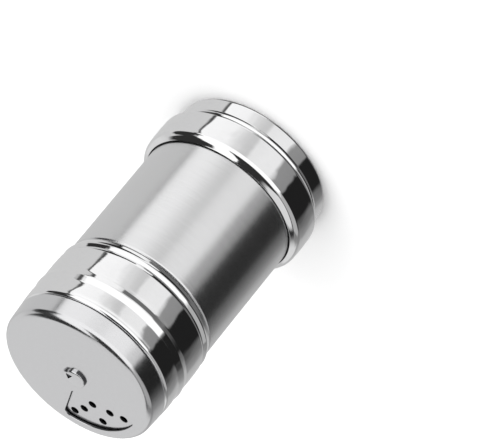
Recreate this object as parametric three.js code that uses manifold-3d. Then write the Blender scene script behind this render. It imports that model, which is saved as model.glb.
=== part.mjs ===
// Steel spice shaker: screw lid with a turning cover, modelled in millimetres, +Z up, foot on z = 0.
import * as THREE from 'three';
import { mergeVertices } from 'three/addons/utils/BufferGeometryUtils.js';
import Module from 'manifold-3d';

const wasm = await Module();
wasm.setup();

// ---- driving dimensions (mm) ----
const SHEET = 0.6;            // thickness of the pressed sheet
const BODY_R = 22.95;         // brushed body, outer radius
const BODY_FLOOR = 0.95;      // underside of the body's own floor
const BODY_TOP = 57.4;        // top of the body's shoulder
const HEEL_R = 22.2;          // drawn-in bottom of the body, inside the foot band
const HEEL_TOP = 7.7;
const NECK_R = 21.0;          // outer radius of the neck
const RIM_Z = 68.5;           // top of the neck
const BASE_R = 25.3;          // polished base cup, crown of its upper band
const FOOT_R = 23.15;         // foot band under it
const FOOT_ROUND = 0.8;       // corner between foot and wall
const FOOT_TOP = 7.0;         // top of the foot band
const BASE_TOP = 18.0;        // top edge of the base cup
const LIP_R = 23.45;          // outer radius of that edge
const SHOULDER_ROUND = 2.1;   // round between upper band and top edge
const CROWN = 0.1;            // how much the upper band bulges
const STAMP_R = 17.1;         // stamped ring under the foot
const CAP_R = 23.9;           // polished cap, crown of its two bands
const CAP_CROWN = 0.1;        // how much each band bulges
const RIDGE_R = 24.1;         // raised line between them
const CAP_LOW = 57.7;         // lower edge of the cap's rolled hem
const CAP_GROOVE = 60.7;      // groove over the hem
const CAP_LINE = 69.9;        // height of the raised line
const CAP_SHOULDER = 79.5;    // step on which the cover's skirt runs
const CAP_ROUND = 1.1;        // round on the edge of that step
const PLATE_R = 22.45;        // raised top of the cap, under the cover
const PLATE_ROUND = 1.2;      // round on its edge
const PLATE_TOP = 86.0;       // upper face of the perforated plate
const COVER_LOW = 79.9;       // lower edge of the cover's skirt
const COVER_R = 23.65;        // skirt radius at its lower edge
const COVER_TAPER = 0.3;      // how much the skirt draws in towards the top
const COVER_TOP = 86.8;       // flat face of the cover
const COVER_ROUND = 2.0;      // edge round of the face
const COVER_SHEET = 0.5;      // thickness of the cover
const PIVOT_R = 1.5;          // rivet shank
const PIVOT_HOLE = 1.8;       // hole round the shank
const HEAD_R = 3.1;           // rivet head
const SHAKE_AZ = 139.6;       // direction of the six small holes, degrees from +X
const WINDOW_AZ = 141;        // middle of the cover's window at rest
const POUR_AZ = 258.8;        // direction of the wide pouring opening
const HOLE_R = 1.15;          // small holes
// small holes in rows: distance from the axis, then angles from the middle of the group
const ROWS = [[10.8, [-2.5]], [13.8, [-19.7, 19.7]], [17.0, [-31.5, 0, 31.5]]];
// openings shaped as a sector: inner and outer radius, half angle in degrees, corner radius
const WINDOW = { r0: 6.6, r1: 19.6, half: 41.5, round: 1.9 };
const POUR = { r0: 8.6, r1: 18.4, half: 31, round: 2.6 };
const NIB = { r0: 2.0, r1: 4.0, w: 1.6, h: 0.7, az: 20 };   // pointed ear of the rivet head
const THREAD_PITCH = 3.2;
const THREAD_R = 0.6;         // bead of the neck's thread
const THREAD_CREST = 21.7;    // crest on the neck
const LINER_R = 23.0;         // plastic insert, outer radius
const LINER_ROOT = 22.5;      // its threaded bore
const LINER_CREST = 22.0;     // crest of its own thread
const LINER_BEAD = 0.45;      // bead of its own thread
const SEAL_IN = 19.6;         // seal ring, inner and outer radius
const SEAL_R = 21.9;
const SEAL_TOP = 69.4;        // upper face of the seal, lying on the rim
const WASHER_R = 3.8;         // spring washer under the plate
const TAIL_GAP = 1.0;         // room for it between plate and rivet tail

const SEG = 36;               // facets round the large pieces
const SEG_SMALL = 24;         // facets round the rivet and its washer

const deg = (a) => a * Math.PI / 180;

function arc(cr, cz, rad, a0, a1, n) {
  const out = [];
  for (let i = 0; i <= n; i++) {
    const a = deg(a0 + (a1 - a0) * i / n);
    out.push([cr + rad * Math.cos(a), cz + rad * Math.sin(a)]);
  }
  return out;
}

// Profile in (r, z), walked counter-clockwise: a closed loop, or a run from axis to axis.
function revolve(profile, seg = SEG) {
  const loop = profile[0][0] === 0 ? profile : [...profile, profile[0]];
  const points = loop.map(([r, z]) => new THREE.Vector2(r, z));
  return new THREE.LatheGeometry(points, seg).rotateX(Math.PI / 2);
}

class Helix extends THREE.Curve {
  constructor(radius, z0, turns) {
    super();
    Object.assign(this, { radius, z0, turns });
  }

  getPoint(t, target = new THREE.Vector3()) {
    const a = 2 * Math.PI * this.turns * t;
    const z = this.z0 + THREAD_PITCH * this.turns * t;
    return target.set(this.radius * Math.cos(a), this.radius * Math.sin(a), z);
  }
}

// Round bead wound round the axis as a screw thread.
function thread(radius, bead, z0, turns) {
  const section = new THREE.Shape();
  section.absarc(0, 0, bead, 0, 2 * Math.PI);
  const extrudePath = new Helix(radius, z0, turns);
  const steps = Math.round(turns * SEG);
  return new THREE.ExtrudeGeometry(section, { steps, extrudePath, curveSegments: 4 });
}

// Sector with rounded corners, middle at azimuth az, upright from z0 to z1.
function sector({ r0, r1, half, round }, az, z0, z1) {
  const h = deg(half);
  const shape = new THREE.Shape();
  const corner = (side, outer) => {
    const r = outer ? r1 - round : r0 + round;
    const a = side * (h - Math.asin(round / r));
    const out = outer ? a : a + Math.PI;
    const edge = side * (h + Math.PI / 2);
    const [from, to] = side < 0 === outer ? [edge, out] : [out, edge];
    shape.absarc(r * Math.cos(a), r * Math.sin(a), round, from, to, false);
  };
  const outerEnd = h - Math.asin(round / (r1 - round));
  const innerEnd = h - Math.asin(round / (r0 + round));
  corner(-1, true);
  shape.absarc(0, 0, r1, -outerEnd, outerEnd, false);
  corner(1, true);
  corner(1, false);
  shape.absarc(0, 0, r0, innerEnd, -innerEnd, true);
  corner(-1, false);
  const options = { depth: z1 - z0, bevelEnabled: false, curveSegments: 4 };
  return new THREE.ExtrudeGeometry(shape, options).rotateZ(deg(az)).translate(0, 0, z0);
}

function rod(r, az, dist, z0, z1, seg = 14) {
  const a = deg(az);
  return new THREE.CylinderGeometry(r, r, z1 - z0, seg).rotateX(Math.PI / 2)
    .translate(dist * Math.cos(a), dist * Math.sin(a), (z0 + z1) / 2);
}

function block(length, width, height, az, dist, z) {
  return new THREE.BoxGeometry(length, width, height).translate(dist, 0, z).rotateZ(deg(az));
}

// Closed body for joining and cutting, with shared corners merged.
function solid(geometry) {
  const g = geometry.clone();
  g.deleteAttribute('normal');
  g.deleteAttribute('uv');
  const m = mergeVertices(g, 1e-4);
  const index = Array.from(m.index.array);
  const kept = [];
  for (let i = 0; i < index.length; i += 3) {
    const [a, b, c] = index.slice(i, i + 3);
    if (a !== b && b !== c && c !== a) kept.push(a, b, c);
  }
  return new wasm.Manifold(new wasm.Mesh({
    numProp: 3,
    vertProperties: new Float32Array(m.attributes.position.array),
    triVerts: new Uint32Array(kept),
  }));
}

function fromSolid(s) {
  const m = s.getMesh();
  const g = new THREE.BufferGeometry();
  g.setAttribute('position', new THREE.BufferAttribute(new Float32Array(m.vertProperties), 3));
  g.setIndex(new THREE.BufferAttribute(new Uint32Array(m.triVerts), 1));
  return g;
}

// ---- base cup: flat stamped foot, two rolled bands, rounded top edge ----
function baseCup() {
  const in0 = FOOT_R - SHEET;
  const edge = BASE_R - CROWN;
  const in1 = edge - SHEET;
  return revolve([
    [0, 0], [STAMP_R - 0.9, 0], [STAMP_R - 0.6, 0.35], [STAMP_R + 0.6, 0.35], [STAMP_R + 0.9, 0],
    ...arc(FOOT_R - FOOT_ROUND, FOOT_ROUND, FOOT_ROUND, -90, 0, 3),
    [FOOT_R, FOOT_TOP - 2.0], [FOOT_R + 0.35, FOOT_TOP - 1.5], [FOOT_R + 0.4, FOOT_TOP - 1.1],
    [FOOT_R + 0.25, FOOT_TOP - 0.5], [FOOT_R + 0.5, FOOT_TOP],
    ...arc(edge - 1.1, FOOT_TOP + 1.35, 1.1, -80, 0, 3),
    [BASE_R, (FOOT_TOP + BASE_TOP) / 2 - 0.2],
    ...arc(edge - SHOULDER_ROUND, BASE_TOP - 2.4, SHOULDER_ROUND, 0, 53, 4),
    [LIP_R, BASE_TOP - 0.04], [LIP_R - 0.08, BASE_TOP],
    [BODY_R + 0.4, BASE_TOP - 0.05], [BODY_R + 0.4, BASE_TOP - 1.2],
    [in1, BASE_TOP - 3.0], [in1, FOOT_TOP + 1.4], [in1 - 0.3, FOOT_TOP + 0.8],
    [in0, FOOT_TOP + 0.4],
    ...arc(in0 - 0.4, SHEET + 0.4, 0.4, 0, -90, 1),
    [STAMP_R + 1.2, SHEET], [STAMP_R + 0.9, BODY_FLOOR], [STAMP_R - 0.9, BODY_FLOOR],
    [STAMP_R - 1.2, SHEET], [0, SHEET],
  ]);
}

// ---- drawn body with its own floor, shoulder and threaded neck ----
function jarBody() {
  const inner = BODY_R - SHEET;
  const neckIn = NECK_R - SHEET;
  const shell = revolve([
    [0, BODY_FLOOR], ...arc(HEEL_R - 1.2, BODY_FLOOR + 1.2, 1.2, -90, 0, 2),
    [HEEL_R, HEEL_TOP], [BODY_R, HEEL_TOP + 1.1],
    ...arc(BODY_R - 0.8, BODY_TOP - 0.8, 0.8, 0, 90, 2),
    [NECK_R + 0.35, BODY_TOP + 0.05], [NECK_R, BODY_TOP + 0.5],
    [NECK_R, RIM_Z - 0.4], [NECK_R - 0.15, RIM_Z], [neckIn + 0.12, RIM_Z], [neckIn, RIM_Z - 0.25],
    [neckIn, BODY_TOP - 0.1], [neckIn + 0.3, BODY_TOP - 0.5], [inner - 0.4, BODY_TOP - 0.6],
    [inner, BODY_TOP - 1.05],
    [inner, HEEL_TOP + 1.3], [HEEL_R - SHEET, HEEL_TOP + 0.2],
    ...arc(HEEL_R - 1.2, BODY_FLOOR + 1.2, 0.6, 0, -90, 1), [0, BODY_FLOOR + SHEET],
  ]);
  const bead = thread(THREAD_CREST - THREAD_R, THREAD_R, RIM_Z - 6.9, 1.4);
  return fromSolid(solid(shell.rotateZ(deg(180 / SEG))).add(solid(bead)));
}

// ---- cap: rolled hem, two bands, shoulder and perforated plate ----
function capShell() {
  const wall = CAP_R - CAP_CROWN - SHEET;
  const under = PLATE_TOP - SHEET;
  const edge = CAP_R - CAP_CROWN;
  const g = CAP_GROOVE;
  const low = g + 1.3;
  const high = CAP_SHOULDER - CAP_ROUND;
  const shell = revolve([
    [23.1, CAP_LOW], [23.13, CAP_LOW + 0.15], [23.33, CAP_LOW + 0.95], [23.6, CAP_LOW + 1.5],
    [23.66, CAP_LOW + 1.85], [23.5, CAP_LOW + 2.3], [23.28, g - 0.2],
    [23.25, g], [23.3, g + 0.1], [23.7, g + 0.9], [edge, low],
    [CAP_R, (low + CAP_LINE) / 2], [edge, CAP_LINE - 0.15],
    [RIDGE_R, CAP_LINE + 1.3], [RIDGE_R, CAP_LINE + 1.6],
    [edge, CAP_LINE + 3.5], [CAP_R, (high + CAP_LINE) / 2 + 1.5],
    ...arc(edge - CAP_ROUND, high, CAP_ROUND, 0, 90, 3),
    [PLATE_R, CAP_SHOULDER],
    ...arc(PLATE_R - PLATE_ROUND, PLATE_TOP - PLATE_ROUND, PLATE_ROUND, 0, 90, 3),
    [PIVOT_HOLE, PLATE_TOP], [PIVOT_HOLE, under],
    [PLATE_R - SHEET - 0.25, under], [PLATE_R - SHEET, under - 0.25],
    [PLATE_R - SHEET, CAP_SHOULDER - SHEET], [wall - 0.25, CAP_SHOULDER - SHEET],
    [wall, CAP_SHOULDER - SHEET - 0.25],
    [wall, low], [22.9, g + 0.7], [22.65, g - 0.1],
    [22.45, CAP_LOW + 1.9], [22.3, CAP_LOW + 1.2], [22.45, CAP_LOW + 0.2], [22.65, CAP_LOW],
  ]);
  let body = solid(shell);
  for (const [r, offs] of ROWS) {
    for (const off of offs) {
      body = body.subtract(solid(rod(HOLE_R, SHAKE_AZ + off, r, under - 1, PLATE_TOP + 1)));
    }
  }
  body = body.subtract(solid(sector(POUR, POUR_AZ, under - 1, PLATE_TOP + 1)));
  return fromSolid(body);
}

// ---- plastic insert that carries the cap's thread and holds the seal ----
function capLiner() {
  const low = CAP_GROOVE + 1.6;
  const ring = revolve([
    [LINER_ROOT + 0.15, low], [LINER_R, low], [LINER_R, SEAL_TOP + 0.8],
    [LINER_R - 0.3, SEAL_TOP + 1.1], [19.2, SEAL_TOP + 1.1], [19.2, SEAL_TOP],
    [LINER_ROOT, SEAL_TOP], [LINER_ROOT, low + 0.3],
  ]);
  const bead = thread(LINER_CREST + LINER_BEAD, LINER_BEAD, RIM_Z - 5.3, 1.2);
  return fromSolid(solid(ring).add(solid(bead)));
}

function sealGasket() {
  return revolve([[SEAL_IN, RIM_Z], [SEAL_R, RIM_Z], [SEAL_R, SEAL_TOP], [SEAL_IN, SEAL_TOP]]);
}

// ---- turning cover: flat face with a window, skirt over the cap's raised top ----
function turningCover() {
  const under = COVER_TOP - COVER_SHEET;
  const rTop = COVER_R - COVER_TAPER;
  const shell = revolve([
    [COVER_R - COVER_SHEET - 0.05, COVER_LOW], [COVER_R, COVER_LOW],
    ...arc(rTop - COVER_ROUND, COVER_TOP - COVER_ROUND, COVER_ROUND, 0, 90, 4),
    [PIVOT_HOLE, COVER_TOP], [PIVOT_HOLE, under],
    ...arc(rTop - COVER_ROUND, COVER_TOP - COVER_ROUND, COVER_ROUND - COVER_SHEET, 90, 0, 3),
  ]);
  const window = solid(sector(WINDOW, WINDOW_AZ, under - 1, COVER_TOP + 1));
  return fromSolid(solid(shell).subtract(window));
}

function pivotRivet() {
  const tail = PLATE_TOP - SHEET - TAIL_GAP;
  const stem = revolve([
    [0, tail - 1.0], [2.2, tail - 1.0], [2.6, tail - 0.6], [2.6, tail],
    [PIVOT_R, tail], [PIVOT_R, COVER_TOP], [HEAD_R, COVER_TOP], [HEAD_R, COVER_TOP + 0.55],
    [HEAD_R - 0.3, COVER_TOP + 0.8], [HEAD_R - 1.2, COVER_TOP + 0.98], [0, COVER_TOP + 1.08],
  ], SEG_SMALL);
  const nib = block(NIB.r1 - NIB.r0, NIB.w, NIB.h, NIB.az, (NIB.r0 + NIB.r1) / 2, COVER_TOP + NIB.h / 2);
  return fromSolid(solid(stem).add(solid(nib)));
}

function springWasher() {
  const low = PLATE_TOP - SHEET - TAIL_GAP;
  const high = low + SHEET;
  const ring = [[PIVOT_HOLE, low], [WASHER_R, low], [WASHER_R, high], [PIVOT_HOLE, high]];
  return revolve(ring, SEG_SMALL);
}

const PIECES = [
  ['jar_body', jarBody, { color: 0xb9bcc0, metalness: 1, roughness: 0.38 }],
  ['base_cup', baseCup, { color: 0xd2d4d6, metalness: 1, roughness: 0.08 }],
  ['cap_shell', capShell, { color: 0xd2d4d6, metalness: 1, roughness: 0.08 }],
  ['cap_liner', capLiner, { color: 0x26282b, metalness: 0, roughness: 0.55 }],
  ['seal_gasket', sealGasket, { color: 0xe4e3dd, metalness: 0, roughness: 0.7 }],
  ['rotating_cover', turningCover, { color: 0xc4c6c9, metalness: 1, roughness: 0.22 }],
  ['pivot_rivet', pivotRivet, { color: 0xc8cacd, metalness: 1, roughness: 0.2 }],
  ['spring_washer', springWasher, { color: 0xa9acb0, metalness: 1, roughness: 0.3 }],
];

const group = new THREE.Group();
group.name = 'spice_shaker';
for (const [name, make, look] of PIECES) {
  const g = make();
  g.computeVertexNormals();
  const mesh = new THREE.Mesh(g, new THREE.MeshStandardMaterial(look));
  mesh.name = name;
  group.add(mesh);
}

export default group;
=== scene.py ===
# Steel spice shaker: smooth pressed-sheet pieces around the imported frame, in metres, +Z up.
import math

import bmesh
import bpy
from mathutils import Matrix, Vector


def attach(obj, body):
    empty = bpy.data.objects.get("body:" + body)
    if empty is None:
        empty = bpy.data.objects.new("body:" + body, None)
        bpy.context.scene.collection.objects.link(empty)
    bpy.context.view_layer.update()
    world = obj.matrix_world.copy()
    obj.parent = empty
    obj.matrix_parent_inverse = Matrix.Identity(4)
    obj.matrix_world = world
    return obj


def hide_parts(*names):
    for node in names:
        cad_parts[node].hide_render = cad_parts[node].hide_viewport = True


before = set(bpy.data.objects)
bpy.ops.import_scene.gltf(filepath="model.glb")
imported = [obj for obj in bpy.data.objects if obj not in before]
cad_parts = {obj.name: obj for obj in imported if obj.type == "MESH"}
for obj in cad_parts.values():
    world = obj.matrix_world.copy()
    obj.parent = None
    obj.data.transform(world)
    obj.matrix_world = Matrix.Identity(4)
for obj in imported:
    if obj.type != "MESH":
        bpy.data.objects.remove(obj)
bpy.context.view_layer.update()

MM = 0.001
SEG = 160                      # facets round the large pieces

# ---- sizes in millimetres, the same as the CAD's ----
SHEET = 0.6                    # thickness of the pressed sheet
BODY_R = 22.95                 # brushed body, outer radius
BODY_FLOOR = 0.95              # underside of the body's own floor
BODY_TOP = 57.4                # top of the body's shoulder
HEEL_R = 22.2                  # drawn-in bottom of the body, inside the foot band
HEEL_TOP = 7.7
NECK_R = 21.0                  # outer radius of the neck
RIM_Z = 68.5                   # top of the neck
BASE_R = 25.3                  # polished base cup, crown of its upper band
CROWN = 0.1                    # how much that band bulges
FOOT_R = 23.15                 # foot band under it
FOOT_ROUND = 0.8
FOOT_TOP = 7.0
BASE_TOP = 18.0                # top edge of the base cup
STAMP_R = 17.1                 # stamped ring under the foot
LIP_R = 23.45                  # outer radius of the top edge
SHOULDER_ROUND = 2.1           # round between upper band and top edge
CAP_R = 23.9                   # polished cap, crown of its two bands
CAP_CROWN = 0.1
RIDGE_R = 24.1                 # raised line between them
CAP_LOW = 57.7                 # lower edge of the cap's rolled hem
CAP_GROOVE = 60.7              # groove over the hem
CAP_LINE = 69.9                # foot of the raised line
CAP_SHOULDER = 79.5            # step on which the cover's skirt runs
CAP_ROUND = 1.1
PLATE_R = 22.45                # raised top of the cap, under the cover
PLATE_ROUND = 1.2
PLATE_TOP = 86.0               # upper face of the perforated plate
COVER_LOW = 79.9               # lower edge of the cover's skirt
COVER_R = 23.65
COVER_TAPER = 0.3              # how much the skirt draws in towards the top
COVER_TOP = 86.8               # flat face of the cover
COVER_ROUND = 2.0
COVER_SHEET = 0.5
PIVOT_R = 1.5                  # rivet shank
PIVOT_HOLE = 1.8               # hole round the shank
HEAD_R = 3.1                   # rivet head
HEAD_H = 1.08
SHAKE_AZ = 139.6               # direction of the six small holes, degrees from +X
WINDOW_AZ = 141                # middle of the cover's window at rest
POUR_AZ = 258.8                # direction of the wide pouring opening
HOLE_R = 1.15
# small holes in rows: distance from the axis, then angles from the middle of the group
ROWS = ((10.8, (-2.5,)), (13.8, (-19.7, 19.7)), (17.0, (-31.5, 0, 31.5)))
# openings shaped as a sector: inner and outer radius, half angle in degrees, corner radius
WINDOW = dict(r0=6.6, r1=19.6, half=41.5, corner=1.9)
POUR = dict(r0=8.6, r1=18.4, half=31, corner=2.6)
EAR = dict(root=2.0, reach=0.9, az=12, half=38)   # pointed ear of the rivet head
THREAD_PITCH = 3.2
THREAD_CREST = 21.7
LINER_R = 23.0                 # plastic insert, outer radius
LINER_ROOT = 22.5              # its threaded bore
LINER_CREST = 22.0             # crest of its own thread
SEAL_IN = 19.6
SEAL_R = 21.9
SEAL_TOP = 69.4                # upper face of the seal, lying on the rim
WASHER_R = 3.8                 # spring washer under the plate
TAIL_GAP = 1.0                 # room for it between plate and rivet tail
BREAK = 0.1                    # width of the broken edges round holes and openings
OPENINGS_R = 20                # all openings of plate and cover lie inside this radius


# ---- mesh helpers ----
def arc(cr, cz, rad, a0, a1, n=8):
    """Points of a round corner in the (r, z) half-plane, angles in degrees."""
    run = []
    for i in range(n + 1):
        a = math.radians(a0 + (a1 - a0) * i / n)
        run.append((cr + rad * math.cos(a), cz + rad * math.sin(a)))
    return run


def bezier(p0, p1, p2, n=6):
    """A soft bend from p0 to p2, pulled towards p1; both ends included."""
    run = []
    for i in range(n + 1):
        t = i / n
        run.append(tuple((1 - t) ** 2 * a + 2 * t * (1 - t) * b + t * t * c
                         for a, b, c in zip(p0, p1, p2)))
    return run


def crown(p0, p1, rise, n=10):
    """A band that bulges by rise between two points of equal radius; both ends included."""
    return [(p0[0] + rise * (1 - (2 * i / n - 1) ** 2), p0[1] + (p1[1] - p0[1]) * i / n)
            for i in range(n + 1)]


def bevelled(r0, r1, z0, z1, e):
    """Section of a flat ring with corners broken by e."""
    return [(r0 + e, z0), (r1 - e, z0), (r1, z0 + e), (r1, z1 - e),
            (r1 - e, z1), (r0 + e, z1), (r0, z1 - e), (r0, z0 + e)]


def supported(profile, closed, hold=0.12, long=0.7):
    """Adds a point close to each end of every long straight run, so that bends shade tightly."""
    out = []
    n = len(profile)
    for i, p in enumerate(profile):
        out.append(p)
        if i == n - 1 and not closed:
            break
        q = profile[(i + 1) % n]
        d = math.dist(p, q)
        if d > long:
            for t in (hold / d, 1 - hold / d):
                out.append((p[0] + (q[0] - p[0]) * t, p[1] + (q[1] - p[1]) * t))
    return out


def mesh_object(name, verts, faces):
    me = bpy.data.meshes.new(name)
    me.from_pydata([tuple(c * MM for c in v) for v in verts], [], faces)
    me.validate()
    ob = bpy.data.objects.new(name, me)
    bpy.context.scene.collection.objects.link(ob)
    return ob


def revolve(name, profile, seg=SEG):
    """Solid of revolution; the profile runs counter-clockwise, closed or from axis to axis."""
    on_axis = profile[0][0] == 0
    profile = supported(profile, not on_axis)
    verts, rows, faces = [], [], []
    for r, z in profile:
        if r == 0:
            verts.append((0, 0, z))
            rows.append([len(verts) - 1] * seg)
            continue
        start = len(verts)
        for j in range(seg):
            t = 2 * math.pi * j / seg
            verts.append((r * math.cos(t), r * math.sin(t), z))
        rows.append(list(range(start, start + seg)))
    last = len(rows) - 1 if on_axis else len(rows)
    for i in range(last):
        lo, hi = rows[i], rows[(i + 1) % len(rows)]
        for j in range(seg):
            k = (j + 1) % seg
            face = [lo[j]]
            for v in (lo[k], hi[k], hi[j]):
                if v not in face:
                    face.append(v)
            if len(face) > 2:
                faces.append(face)
    return mesh_object(name, verts, faces)


def helix(name, root, crest, z0, pitch, turns, half_root, half_crest):
    """Rounded rib wound round the axis, fading in and out at its ends."""
    steps = round(turns * 72)
    section = ((0, -half_root), (0.45, -half_root * 0.72), (0.88, -half_crest * 1.15),
               (1.0, -half_crest * 0.5), (1.0, half_crest * 0.5), (0.88, half_crest * 1.15),
               (0.45, half_root * 0.72), (0, half_root))
    verts, faces = [], []
    for i in range(steps + 1):
        t = 2 * math.pi * turns * i / steps
        z = z0 + pitch * turns * i / steps
        rise = min(1.0, 0.1 + min(i, steps - i) / 10)
        for k, dz in section:
            r = root + (crest - root) * k * rise
            verts.append((r * math.cos(t), r * math.sin(t), z + dz))
    n = len(section)
    flip = crest < root
    for i in range(steps):
        for k in range(n):
            a, b = n * i + k, n * i + (k + 1) % n
            f = [a, a + n, b + n, b]
            faces.append(f[::-1] if flip else f)
    ends = [list(range(n)), list(range(n * steps, n * steps + n))[::-1]]
    faces += [e[::-1] if flip else e for e in ends]
    return mesh_object(name, verts, faces)


def prism_faces(n, levels):
    """Faces of a closed stack of rings with n points each, from the lowest up."""
    faces = [list(range(n))[::-1]]
    for lv in range(levels - 1):
        for i in range(n):
            k = (i + 1) % n
            faces.append([lv * n + i, lv * n + k, (lv + 1) * n + k, (lv + 1) * n + i])
    faces.append(list(range((levels - 1) * n, levels * n)))
    return faces


def sector_prism(name, z0, z1, r0, r1, half, corner, az, grow):
    """Upright prism over a sector with rounded corners, wider by grow from z1 upwards."""
    h = math.radians(half)

    def outline(extra):
        a0, a1, c = r0 - extra, r1 + extra, corner + extra
        pts = []

        def turn(r, side, outer):
            """Points round one corner, from the straight side to the round one."""
            m = r - c if outer else r + c
            off = math.asin(c / m)
            wide = h + math.asin(extra / m)
            ca = side * (wide - off)
            cx, cy = m * math.cos(ca), m * math.sin(ca)
            edge = side * (wide + math.pi / 2)
            face = ca if outer else ca + math.pi
            d = (face - edge + math.pi) % (2 * math.pi) - math.pi
            return [(cx + c * math.cos(edge + d * i / 8), cy + c * math.sin(edge + d * i / 8))
                    for i in range(9)]

        def across(r, start, n):
            """Points between start and its mirror image, round the axis."""
            angles = [start - 2 * start * i / n for i in range(1, n)]
            return [(r * math.cos(t), r * math.sin(t)) for t in angles]

        pts += turn(a1, -1, True)
        pts += across(a1, math.atan2(pts[-1][1], pts[-1][0]), 32)
        pts += turn(a1, 1, True)[::-1]
        pts += turn(a0, 1, False)
        pts += across(a0, math.atan2(pts[-1][1], pts[-1][0]), 12)
        pts += turn(a0, -1, False)[::-1]
        return pts

    top = outline(grow)
    low = outline(0.0)
    n = len(low)
    turn_az = math.radians(az)
    verts = []
    levels = ((z0, low), (z1 - grow, low), (z1, top), (z1 + 1, top))
    for z, ring in levels:
        for x, y in ring:
            verts.append((x * math.cos(turn_az) - y * math.sin(turn_az),
                          x * math.sin(turn_az) + y * math.cos(turn_az), z))
    return mesh_object(name, verts, prism_faces(n, len(levels)))


def drill(name, z0, z1, r, x, y, grow, n=40):
    """Upright round tool about (x, y), wider by grow from z1 upwards."""
    levels = ((z0, r), (z1 - grow, r), (z1, r + grow), (z1 + 1, r + grow))
    verts = []
    for z, rad in levels:
        for i in range(n):
            t = 2 * math.pi * i / n
            verts.append((x + rad * math.cos(t), y + rad * math.sin(t), z))
    return mesh_object(name, verts, prism_faces(n, len(levels)))


def combine(target, tool, how):
    """Exact boolean of one object with another; the tool is thrown away."""
    mod = target.modifiers.new("cut", "BOOLEAN")
    mod.operation = how
    mod.solver = "EXACT"
    mod.object = tool
    dg = bpy.context.evaluated_depsgraph_get()
    me = bpy.data.meshes.new_from_object(target.evaluated_get(dg))
    target.modifiers.clear()
    old = target.data
    target.data = me
    bpy.data.meshes.remove(old)
    used = tool.data
    bpy.data.objects.remove(tool)
    bpy.data.meshes.remove(used)
    return target


def shade(ob, angle=32):
    me = ob.data
    for p in me.polygons:
        p.use_smooth = True
    me.set_sharp_from_angle(angle=math.radians(angle))
    return ob


# ---- materials ----
def node(tree, kind, **values):
    n = tree.nodes.new(kind)
    for key, v in values.items():
        if key in n.inputs:
            n.inputs[key].default_value = v
        else:
            setattr(n, key, v)
    return n


def metal(name, low, high, rough, spread, grain, bump, wave, anisotropic=0.0, wave_scale=55.0):
    """Steel whose tone and roughness vary a little; grain is the noise scale on x, y and z."""
    mat = bpy.data.materials.new(name)
    mat.use_nodes = True
    t = mat.node_tree
    t.nodes.clear()
    out = node(t, "ShaderNodeOutputMaterial")
    bsdf = node(t, "ShaderNodeBsdfPrincipled")
    bsdf.inputs["Metallic"].default_value = 1.0
    bsdf.inputs["Anisotropic"].default_value = anisotropic
    coord = node(t, "ShaderNodeTexCoord")
    stretch = node(t, "ShaderNodeMapping")
    stretch.inputs["Scale"].default_value = grain
    fine = node(t, "ShaderNodeTexNoise", Scale=1.0, Detail=5.0, Roughness=0.6)
    broad = node(t, "ShaderNodeTexNoise", Scale=wave_scale, Detail=2.0, Roughness=0.45)
    tone = node(t, "ShaderNodeMix")
    tone.data_type = "RGBA"
    tone.inputs["A"].default_value = (*low, 1)
    tone.inputs["B"].default_value = (*high, 1)
    level = node(t, "ShaderNodeMapRange")
    level.inputs["To Min"].default_value = rough - spread
    level.inputs["To Max"].default_value = rough + spread
    dent = node(t, "ShaderNodeBump", Strength=wave, Distance=0.0012)
    line = node(t, "ShaderNodeBump", Strength=bump, Distance=0.00012)
    link = t.links.new
    link(coord.outputs["Object"], stretch.inputs["Vector"])
    link(stretch.outputs["Vector"], fine.inputs["Vector"])
    link(coord.outputs["Object"], broad.inputs["Vector"])
    link(fine.outputs["Fac"], tone.inputs["Factor"])
    link(fine.outputs["Fac"], level.inputs["Value"])
    link(tone.outputs["Result"], bsdf.inputs["Base Color"])
    link(level.outputs["Result"], bsdf.inputs["Roughness"])
    link(broad.outputs["Fac"], dent.inputs["Height"])
    link(fine.outputs["Fac"], line.inputs["Height"])
    link(dent.outputs["Normal"], line.inputs["Normal"])
    link(line.outputs["Normal"], bsdf.inputs["Normal"])
    if anisotropic:
        tangent = node(t, "ShaderNodeTangent")
        tangent.direction_type = "RADIAL"
        tangent.axis = "Z"
        bsdf.inputs["Anisotropic Rotation"].default_value = 0.25
        link(tangent.outputs["Tangent"], bsdf.inputs["Tangent"])
    link(bsdf.outputs["BSDF"], out.inputs["Surface"])
    return mat


def moulded(name, low, high, rough, sheen_grain, translucent=0.0):
    mat = bpy.data.materials.new(name)
    mat.use_nodes = True
    t = mat.node_tree
    t.nodes.clear()
    out = node(t, "ShaderNodeOutputMaterial")
    bsdf = node(t, "ShaderNodeBsdfPrincipled")
    bsdf.inputs["Subsurface Weight"].default_value = translucent
    coord = node(t, "ShaderNodeTexCoord")
    noise = node(t, "ShaderNodeTexNoise", Scale=sheen_grain, Detail=4.0)
    tone = node(t, "ShaderNodeMix")
    tone.data_type = "RGBA"
    tone.inputs["A"].default_value = (*low, 1)
    tone.inputs["B"].default_value = (*high, 1)
    level = node(t, "ShaderNodeMapRange")
    level.inputs["To Min"].default_value = rough - 0.08
    level.inputs["To Max"].default_value = rough + 0.08
    bump = node(t, "ShaderNodeBump", Strength=0.25, Distance=0.0001)
    link = t.links.new
    link(coord.outputs["Object"], noise.inputs["Vector"])
    link(noise.outputs["Fac"], tone.inputs["Factor"])
    link(noise.outputs["Fac"], level.inputs["Value"])
    link(noise.outputs["Fac"], bump.inputs["Height"])
    link(tone.outputs["Result"], bsdf.inputs["Base Color"])
    link(level.outputs["Result"], bsdf.inputs["Roughness"])
    link(bump.outputs["Normal"], bsdf.inputs["Normal"])
    link(bsdf.outputs["BSDF"], out.inputs["Surface"])
    return mat


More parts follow.
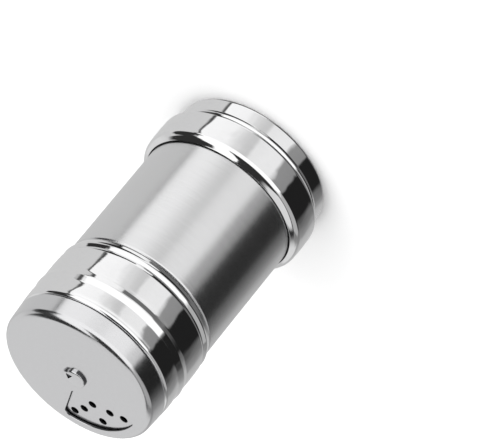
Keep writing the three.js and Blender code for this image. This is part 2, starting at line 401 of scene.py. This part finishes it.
BRUSHED = metal("brushed_steel", (0.76, 0.76, 0.765), (0.84, 0.84, 0.845), 0.25, 0.03,
                (120, 120, 2600), 0.16, 0.03, anisotropic=0.35)
POLISHED = metal("polished_steel", (0.86, 0.86, 0.865), (0.92, 0.92, 0.925), 0.06, 0.02,
                 (500, 500, 900), 0.03, 0.22, wave_scale=70.0)
SATIN = metal("satin_steel", (0.72, 0.72, 0.73), (0.78, 0.78, 0.79), 0.18, 0.03,
              (900, 900, 900), 0.06, 0.02)
# near-black steel laid on as painted shade: walls of holes and openings, part of the rivet head's
# wall, and its dent
PAINTED_SHADE = metal("painted_shade_steel", (0.10, 0.10, 0.105), (0.16, 0.16, 0.165), 0.42, 0.05,
            (1500, 1500, 400), 0.2, 0.0)
SPRING = metal("spring_steel", (0.50, 0.50, 0.51), (0.62, 0.62, 0.63), 0.32, 0.05,
               (700, 700, 700), 0.1, 0.02)
PLASTIC = moulded("liner_plastic", (0.035, 0.036, 0.04), (0.05, 0.051, 0.055), 0.5, 900.0)
SEAL = moulded("seal_rubber", (0.74, 0.73, 0.70), (0.82, 0.81, 0.78), 0.55, 600.0, 0.15)


def paint(ob, material, chosen):
    """Gives a second material to the faces for which chosen(centre, normal) holds, in mm."""
    ob.data.materials.append(material)
    for p in ob.data.polygons:
        if chosen(p.center / MM, p.normal):
            p.material_index = len(ob.data.materials) - 1


def finish_piece(ob, body, nodes, material, angle=32):
    shade(ob, angle)
    ob.data.materials.clear()
    ob.data.materials.append(material)
    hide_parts(*nodes)
    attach(ob, body)
    return ob


# ---- pieces ----
def build_base_cup():
    in0 = FOOT_R - SHEET
    edge = BASE_R - CROWN
    in1 = edge - SHEET
    # underside and foot band with its bead
    profile = [(0, 0), (STAMP_R - 0.95, 0)]
    profile += bezier((STAMP_R - 0.95, 0), (STAMP_R - 0.65, 0.35), (STAMP_R - 0.3, 0.35), 4)[1:]
    profile += bezier((STAMP_R + 0.3, 0.35), (STAMP_R + 0.65, 0.35), (STAMP_R + 0.95, 0), 4)
    profile += arc(FOOT_R - FOOT_ROUND, FOOT_ROUND, FOOT_ROUND, -90, 0, 8)
    profile += bezier((FOOT_R, FOOT_TOP - 2.2), (FOOT_R, FOOT_TOP - 2.0),
                      (FOOT_R + 0.25, FOOT_TOP - 1.65), 5)
    profile += bezier((FOOT_R + 0.35, FOOT_TOP - 1.5), (FOOT_R + 0.5, FOOT_TOP - 1.2),
                      (FOOT_R + 0.36, FOOT_TOP - 0.8), 6)
    profile += bezier((FOOT_R + 0.28, FOOT_TOP - 0.62), (FOOT_R + 0.2, FOOT_TOP - 0.3),
                      (FOOT_R + 0.5, FOOT_TOP), 6)
    # crowned band and sloping shoulder
    profile += arc(edge - 1.1, FOOT_TOP + 1.35, 1.1, -80, 0, 10)
    profile += crown((edge, FOOT_TOP + 1.6), (edge, BASE_TOP - 2.7), CROWN)
    profile += arc(edge - SHOULDER_ROUND, BASE_TOP - 2.4, SHOULDER_ROUND, 0, 53, 16)
    profile += bezier((LIP_R + 0.1, BASE_TOP - 0.12), (LIP_R, BASE_TOP - 0.02),
                      (LIP_R - 0.06, BASE_TOP), 4)
    # inside
    profile += [(BODY_R + 0.36, BASE_TOP - 0.05), (BODY_R + 0.36, BASE_TOP - 1.2),
                (in1, BASE_TOP - 3.0), (in1, FOOT_TOP + 1.4), (in1 - 0.3, FOOT_TOP + 0.8),
                (in0, FOOT_TOP + 0.4)]
    profile += arc(in0 - 0.4, SHEET + 0.4, 0.4, 0, -90, 4)
    profile += [(STAMP_R + 1.2, SHEET), (STAMP_R + 0.9, BODY_FLOOR),
                (STAMP_R - 0.9, BODY_FLOOR), (STAMP_R - 1.2, SHEET), (0, SHEET)]
    cup = revolve("base_cup_skin", profile)
    return finish_piece(cup, "jar", ["base_cup"], POLISHED)


def build_jar():
    inner = BODY_R - SHEET
    neck_in = NECK_R - SHEET
    # outside, from the floor to the rim
    profile = [(0, BODY_FLOOR)]
    profile += arc(HEEL_R - 1.2, BODY_FLOOR + 1.2, 1.2, -90, 0, 6)
    profile += [(HEEL_R, HEEL_TOP), (BODY_R, HEEL_TOP + 1.1)]
    profile += arc(BODY_R - 0.8, BODY_TOP - 0.8, 0.8, 0, 90, 8)
    profile += bezier((NECK_R + 0.6, BODY_TOP), (NECK_R, BODY_TOP), (NECK_R, BODY_TOP + 0.6), 6)
    profile += bezier((NECK_R, RIM_Z - 0.35), (NECK_R, RIM_Z), (NECK_R - 0.3, RIM_Z), 6)
    # inside, back down
    profile += bezier((neck_in + 0.3, RIM_Z), (neck_in, RIM_Z), (neck_in, RIM_Z - 0.35), 6)
    profile += bezier((neck_in, BODY_TOP - 0.1), (neck_in, BODY_TOP - 0.6),
                      (neck_in + 0.6, BODY_TOP - 0.6), 6)
    profile += arc(inner - 0.5, BODY_TOP - 1.1, 0.5, 90, 0, 4)
    profile += [(inner, HEEL_TOP + 1.3), (HEEL_R - SHEET, HEEL_TOP + 0.2)]
    profile += arc(HEEL_R - 1.2, BODY_FLOOR + 1.2, 0.6, 0, -90, 5)
    profile += [(0, BODY_FLOOR + SHEET)]
    jar = revolve("jar_body_skin", profile)
    rib = helix("rib", NECK_R - 0.2, THREAD_CREST, RIM_Z - 6.9, THREAD_PITCH, 1.4, 0.85, 0.3)
    combine(jar, rib, "UNION")
    return finish_piece(jar, "jar", ["jar_body"], BRUSHED)


def build_cap():
    edge = CAP_R - CAP_CROWN
    wall = edge - SHEET
    under = PLATE_TOP - SHEET
    g = CAP_GROOVE
    low = g + 1.3
    line = CAP_LINE
    # rolled hem and groove
    profile = bezier((23.0, CAP_LOW), (23.1, CAP_LOW), (23.13, CAP_LOW + 0.15), 4)
    profile += bezier((23.3, CAP_LOW + 0.88), (23.33, CAP_LOW + 1.0), (23.4, CAP_LOW + 1.12), 3)
    profile += bezier((23.56, CAP_LOW + 1.42), (23.72, CAP_LOW + 1.75), (23.64, CAP_LOW + 2.05), 6)
    profile += bezier((23.52, CAP_LOW + 2.3), (23.4, g - 0.35), (23.29, g - 0.16), 5)
    profile += bezier((23.24, g - 0.08), (23.24, g), (23.3, g + 0.1), 3)
    profile += bezier((23.68, g + 0.88), (edge, g + 1.15), (edge, low), 8)
    # lower band, raised line, upper band
    profile += crown((edge, low + 0.1), (edge, line - 0.4), CAP_CROWN)
    profile += bezier((edge, line - 0.3), (edge, line - 0.15), (edge + 0.04, line + 0.05), 4)
    profile += bezier((RIDGE_R - 0.06, line + 1.1), (RIDGE_R + 0.02, line + 1.4),
                      (RIDGE_R - 0.04, line + 1.75), 6)
    profile += bezier((edge + 0.06, line + 3.1), (edge, line + 3.4), (edge, line + 3.7), 4)
    profile += crown((edge, line + 3.8), (edge, CAP_SHOULDER - CAP_ROUND - 0.1), CAP_CROWN)
    # shoulder and plate
    profile += arc(edge - CAP_ROUND, CAP_SHOULDER - CAP_ROUND, CAP_ROUND, 0, 90, 10)
    profile += [(PLATE_R, CAP_SHOULDER)]
    profile += arc(PLATE_R - PLATE_ROUND, PLATE_TOP - PLATE_ROUND, PLATE_ROUND, 0, 90, 8)
    profile += [(PIVOT_HOLE, PLATE_TOP), (PIVOT_HOLE, under)]
    # inside
    profile += [(PLATE_R - SHEET - 0.25, under), (PLATE_R - SHEET, under - 0.25),
                (PLATE_R - SHEET, CAP_SHOULDER - SHEET), (wall - 0.25, CAP_SHOULDER - SHEET),
                (wall, CAP_SHOULDER - SHEET - 0.25), (wall, low), (22.9, g + 0.7),
                (22.65, g - 0.1), (22.45, CAP_LOW + 1.9), (22.3, CAP_LOW + 1.2),
                (22.45, CAP_LOW + 0.2), (22.65, CAP_LOW)]
    cap = revolve("cap_shell_skin", profile)
    for r, offs in ROWS:
        for o in offs:
            a = math.radians(SHAKE_AZ + o)
            x, y = r * math.cos(a), r * math.sin(a)
            combine(cap, drill("tool", under - 1, PLATE_TOP, HOLE_R, x, y, BREAK), "DIFFERENCE")
    tool = sector_prism("tool", under - 1, PLATE_TOP, **POUR, az=POUR_AZ, grow=BREAK)
    combine(cap, tool, "DIFFERENCE")
    finish_piece(cap, "cap", ["cap_shell"], POLISHED)
    paint(cap, SATIN, lambda c, n: n.z > 0.9 and c.z > PLATE_TOP - 0.02)
    # painted shade: the walls of the small holes and of the pouring opening get the near-black
    # steel
    paint(cap, PAINTED_SHADE, lambda c, n: abs(n.z) < 0.9 and under < c.z < PLATE_TOP
          and c.xy.length < OPENINGS_R)
    return cap


def build_liner():
    low = CAP_GROOVE + 1.6
    profile = [(LINER_ROOT + 0.15, low), (LINER_R - 0.1, low), (LINER_R, low + 0.1),
               (LINER_R, SEAL_TOP + 0.8), (LINER_R - 0.3, SEAL_TOP + 1.1),
               (19.3, SEAL_TOP + 1.1), (19.2, SEAL_TOP + 1.0), (19.2, SEAL_TOP),
               (LINER_ROOT, SEAL_TOP), (LINER_ROOT, low + 0.3)]
    liner = revolve("cap_liner_skin", profile)
    rib = helix("rib", LINER_ROOT + 0.2, LINER_CREST, RIM_Z - 5.3, THREAD_PITCH, 1.2, 0.8, 0.3)
    combine(liner, rib, "UNION")
    return finish_piece(liner, "cap", ["cap_liner"], PLASTIC)


def build_seal():
    profile = bevelled(SEAL_IN, SEAL_R, RIM_Z, SEAL_TOP, 0.15)
    seal = revolve("seal_gasket_skin", profile)
    return finish_piece(seal, "seal", ["seal_gasket"], SEAL)


def build_cover():
    under = COVER_TOP - COVER_SHEET
    top_r = COVER_R - COVER_TAPER
    profile = [(COVER_R - COVER_SHEET, COVER_LOW), (COVER_R - 0.15, COVER_LOW)]
    profile += bezier((COVER_R - 0.12, COVER_LOW), (COVER_R, COVER_LOW),
                      (COVER_R, COVER_LOW + 0.15), 4)
    profile += arc(top_r - COVER_ROUND, COVER_TOP - COVER_ROUND, COVER_ROUND, 0, 90, 14)
    profile += [(PIVOT_HOLE, COVER_TOP), (PIVOT_HOLE, under)]
    profile += arc(top_r - COVER_ROUND, COVER_TOP - COVER_ROUND,
                   COVER_ROUND - COVER_SHEET, 90, 0, 8)
    cover = revolve("rotating_cover_skin", profile)
    tool = sector_prism("tool", under - 1, COVER_TOP, **WINDOW, az=WINDOW_AZ, grow=BREAK)
    combine(cover, tool, "DIFFERENCE")
    finish_piece(cover, "cover", ["rotating_cover"], SATIN)
    # painted shade: the wall of the window gets the near-black steel
    paint(cover, PAINTED_SHADE, lambda c, n: abs(n.z) < 0.3 and under < c.z < COVER_TOP
          and c.xy.length < OPENINGS_R)
    return cover


def build_rivet():
    tail = PLATE_TOP - SHEET - TAIL_GAP
    profile = [(0, tail - 1.0), (2.1, tail - 1.0)]
    profile += bezier((2.1, tail - 1.0), (2.6, tail - 1.0), (2.6, tail - 0.5), 5)[1:]
    profile += [(2.6, tail), (PIVOT_R, tail), (PIVOT_R, COVER_TOP), (HEAD_R, COVER_TOP)]
    profile += bezier((HEAD_R, COVER_TOP + 0.42), (HEAD_R, COVER_TOP + 0.85),
                      (HEAD_R - 0.45, COVER_TOP + 0.89), 8)
    profile += bezier((HEAD_R - 0.6, COVER_TOP + 0.9), (HEAD_R - 1.8, COVER_TOP + HEAD_H),
                      (0, COVER_TOP + HEAD_H), 8)
    rivet = revolve("pivot_rivet_skin", profile, 96)
    # the head runs out into a small pointed ear
    for v in rivet.data.vertices:
        r = v.co.xy.length / MM
        turn = math.degrees(math.atan2(v.co.y, v.co.x)) - EAR["az"]
        if v.co.z > (COVER_TOP - 0.01) * MM and r > EAR["root"] and abs(turn) < EAR["half"]:
            rise = math.cos(math.radians(90 * turn / EAR["half"])) ** 2
            grow = EAR["reach"] * rise * min(1.0, (r - EAR["root"]) / (HEAD_R - EAR["root"]))
            v.co.xy *= (r + grow) / r
    # dent beside the ear: shallow at the rim, deep towards the middle
    top, deep = COVER_TOP + 1.3, COVER_TOP + 0.45
    corners = ((3.0, -0.1, COVER_TOP + 0.95), (1.5, 1.4, deep + 0.1), (1.0, -1.1, deep))
    verts = [(cx, cy, z) for cx, cy, z in corners] + [(cx, cy, top) for cx, cy, z in corners]
    faces = [(0, 1, 2), (5, 4, 3), (0, 3, 4, 1), (1, 4, 5, 2), (2, 5, 3, 0)]
    dent = mesh_object("dent", verts, faces)
    bm = bmesh.new()
    bm.from_mesh(dent.data)
    bmesh.ops.recalc_face_normals(bm, faces=bm.faces[:])
    bm.to_mesh(dent.data)
    bm.free()
    combine(rivet, dent, "DIFFERENCE")
    finish_piece(rivet, "cover", ["pivot_rivet"], SATIN, 40)

    def painted_shade_faces(c, n):
        """Faces given painted shade: part of the head's wall, and the walls and floor of the dent.
        """
        wall = abs(n.z) < 0.35 and c.x < 0.8
        dented = n.z < 0.985 and c.xy.length < 2.45
        return c.z > COVER_TOP and (wall or dented)

    # painted shade: these faces get the near-black steel in place of the shade they lie in
    paint(rivet, PAINTED_SHADE, painted_shade_faces)
    return rivet


def build_washer():
    low = PLATE_TOP - SHEET - TAIL_GAP
    profile = bevelled(PIVOT_HOLE, WASHER_R, low, low + SHEET, 0.08)
    washer = revolve("spring_washer_skin", profile, 96)
    return finish_piece(washer, "cover", ["spring_washer"], SPRING)


build_base_cup()
build_jar()
build_cap()
build_liner()
build_seal()
build_cover()
build_rivet()
build_washer()

# ---- camera: looks down on the lid, rolled so that the lid is low and left ----
CAM_ELEVATION = 30.97
CAM_AZIMUTH = -0.43
CAM_DISTANCE = 1.213
CAM_ROLL = -140.9
CAM_TARGET = Vector((-0.00775, -0.0125, 0.02426))
CAM_LENS = 334.7

elev, azim = math.radians(CAM_ELEVATION), math.radians(CAM_AZIMUTH)
forward = Vector((math.sin(azim) * math.cos(elev), math.cos(azim) * math.cos(elev),
                  -math.sin(elev)))
level_right = forward.cross(Vector((0, 0, 1))).normalized()
level_up = level_right.cross(forward)
roll = math.radians(CAM_ROLL)
right = level_right * math.cos(roll) + level_up * math.sin(roll)
up = level_up * math.cos(roll) - level_right * math.sin(roll)
cam_data = bpy.data.cameras.new("camera")
cam_data.lens = CAM_LENS
cam_data.sensor_width = 36.0
cam_data.clip_start = 0.01
cam_data.clip_end = 50.0
camera = bpy.data.objects.new("camera", cam_data)
bpy.context.scene.collection.objects.link(camera)
pose = Matrix((right, up, -forward)).transposed().to_4x4()
pose.translation = CAM_TARGET - forward * CAM_DISTANCE
camera.matrix_world = pose
bpy.context.scene.camera = camera

# ---- floor ----
FLOOR_HALF = 6.0
floor_mat = bpy.data.materials.new("floor_white")
floor_mat.use_nodes = True
paper = floor_mat.node_tree.nodes["Principled BSDF"]
paper.inputs["Base Color"].default_value = (0.92, 0.92, 0.92, 1)
paper.inputs["Roughness"].default_value = 0.9
floor_mesh = bpy.data.meshes.new("floor")
floor_mesh.from_pydata([(sx * FLOOR_HALF, sy * FLOOR_HALF, 0) for sx, sy in
                        ((-1, -1), (1, -1), (1, 1), (-1, 1))], [], [(0, 1, 2, 3)])
floor = bpy.data.objects.new("floor", floor_mesh)
floor.data.materials.append(floor_mat)
floor.visible_glossy = False
bpy.context.scene.collection.objects.link(floor)


# ---- world: what the steel mirrors, by direction ----
def world_ramp(tree, stops, factor):
    """Grey ramp through (place, level) stops."""
    ramp = node(tree, "ShaderNodeValToRGB")
    el = ramp.color_ramp.elements
    while len(el) > 1:
        el.remove(el[-1])
    el[0].position = stops[0][0]
    el[0].color = (stops[0][1],) * 3 + (1,)
    for pos, v in stops[1:]:
        e = el.new(pos)
        e.color = (v, v, v, 1)
    tree.links.new(factor, ramp.inputs["Fac"])
    return ramp


def math_node(tree, op, a, b=None):
    """One sum; a and b are sockets or plain numbers."""
    n = node(tree, "ShaderNodeMath")
    n.operation = op
    for i, v in enumerate((a, b)):
        if v is None:
            continue
        if hasattr(v, "links"):
            tree.links.new(v, n.inputs[i])
        else:
            n.inputs[i].default_value = v
    return n.outputs[0]


world = bpy.data.worlds.new("studio")
bpy.context.scene.world = world
world.use_nodes = True
w = world.node_tree
w.nodes.clear()
w_out = node(w, "ShaderNodeOutputWorld")
coord = node(w, "ShaderNodeTexCoord")
split = node(w, "ShaderNodeSeparateXYZ")
w.links.new(coord.outputs["Generated"], split.inputs[0])
x, y, z = split.outputs


def at(degrees):
    """Place on the side ramp of an azimuth: 0.5 is straight in front."""
    return 0.5 + degrees / 360


def step(value, lo, hi, below=0.0, above=1.0):
    """A soft step from below, under lo, to above, over hi."""
    n = node(w, "ShaderNodeMapRange")
    n.interpolation_type = "SMOOTHSTEP"
    w.links.new(value, n.inputs["Value"])
    n.inputs["From Min"].default_value = lo
    n.inputs["From Max"].default_value = hi
    n.inputs["To Min"].default_value = below
    n.inputs["To Max"].default_value = above
    return n.outputs[0]


def span(value, lo, hi, soft):
    """1 between lo and hi, falling to 0 over soft on each side."""
    return math_node(w, "MULTIPLY", step(value, lo - soft, lo),
                     step(value, hi, hi + soft, 1.0, 0.0))


def over(base, tone, mask):
    """base with tone laid over it where mask is 1; all are grey levels."""
    blend = node(w, "ShaderNodeMix")
    w.links.new(mask, blend.inputs["Factor"])
    w.links.new(base, blend.inputs["A"])
    blend.inputs["B"].default_value = tone
    return blend.outputs["Result"]


# azimuth from -Y, positive towards -X, and elevation, both in degrees
azimuth = math_node(w, "MULTIPLY", math_node(
    w, "ARCTAN2", math_node(w, "MULTIPLY", x, -1.0), math_node(w, "MULTIPLY", y, -1.0)),
    180 / math.pi)
elevation = math_node(w, "MULTIPLY", math_node(w, "ARCSINE", z), 180 / math.pi)
# wavy edges, as pressed sheet gives
ripple = node(w, "ShaderNodeTexNoise", Scale=3.2, Detail=2.0)
w.links.new(coord.outputs["Generated"], ripple.inputs["Vector"])
sway = math_node(w, "MULTIPLY", math_node(w, "SUBTRACT", ripple.outputs["Fac"], 0.5), 30.0)
azimuth = math_node(w, "ADD", azimuth, sway)

# grey level of the walls round the object, by azimuth
SIDE = [(0.0, 0.62), (at(-87), 0.66), (at(-84), 0.08), (at(-80), 0.08), (at(-77), 1.05),
        (at(-42), 1.0), (at(-24), 0.70), (at(-13), 0.62), (at(-9), 0.86), (at(12), 0.90),
        (at(27), 0.90), (at(34), 0.30), (at(52), 0.27), (at(56), 0.015), (at(98), 0.015),
        (at(110), 0.14), (at(140), 0.45), (1.0, 0.62)]
place = math_node(w, "ADD", math_node(w, "DIVIDE", azimuth, 360.0), 0.5)
level = world_ramp(w, SIDE, place).outputs["Color"]


def patch(az0, az1, az_soft, el0, el1, el_soft):
    """Mask of a field in azimuth and elevation, with a soft border to each."""
    return math_node(w, "MULTIPLY", span(azimuth, az0, az1, az_soft),
                     span(elevation, el0, el1, el_soft))


SOFTBOX = 1.15
WALL = 0.74
level = over(level, 0.16, patch(-26, 400, 4, -91, -50, 6))        # below: dark grey
level = over(level, 0.02, patch(-26, 400, 4, -91, -68, 4))        # straight below: black
level = over(level, 0.02, patch(-400, -84, 4, -91, -50, 6))       # below, far left: black
level = over(level, 0.03, span(elevation, 34, 91, 5))             # ceiling: dark
level = over(level, 0.03, patch(-106, -74, 5, -12, 91, 5))        # far left: black above
level = over(level, SOFTBOX, patch(-68, 48, 5, -20, 28, 5))       # long and low, in front
level = over(level, 0.45, patch(52, 110, 8, -9, 30, 5))           # dim field right of it
level = over(level, SOFTBOX, patch(-78, -32, 5, 20, 76, 6))       # tall, on the left
behind = math_node(w, "MULTIPLY", step(y, 0.50, 0.70), span(elevation, 4, 42, 4))
level = over(level, WALL, behind)                                 # pale wall behind
leaning = math_node(w, "SUBTRACT", y, math_node(w, "MULTIPLY", x, 0.6))
overhead = math_node(w, "MULTIPLY", step(leaning, -0.08, 0.02), step(elevation, 36, 42))
overhead = math_node(w, "MULTIPLY", overhead, step(x, 0.06, 0.14, 1.0, 0.0))
level = over(level, WALL, overhead)                               # and above it, on the right
room = node(w, "ShaderNodeBackground")
w.links.new(level, room.inputs["Color"])
plain = node(w, "ShaderNodeBackground")
plain.inputs["Color"].default_value = (1, 1, 1, 1)
path = node(w, "ShaderNodeLightPath")
choose = node(w, "ShaderNodeMixShader")
w.links.new(path.outputs["Is Camera Ray"], choose.inputs["Fac"])
w.links.new(room.outputs["Background"], choose.inputs[1])
w.links.new(plain.outputs["Background"], choose.inputs[2])
w.links.new(choose.outputs["Shader"], w_out.inputs["Surface"])

# ---- one soft overhead lamp for the floor ----
lamp = bpy.data.lights.new("overhead", "AREA")
lamp.shape = "DISK"
lamp.size = 2.5
lamp.energy = 55.0
lamp_ob = bpy.data.objects.new("overhead", lamp)
lamp_ob.location = (0.2, -0.3, 2.2)
lamp_ob.visible_glossy = False
bpy.context.scene.collection.objects.link(lamp_ob)

bpy.context.scene.view_settings.view_transform = "Standard"
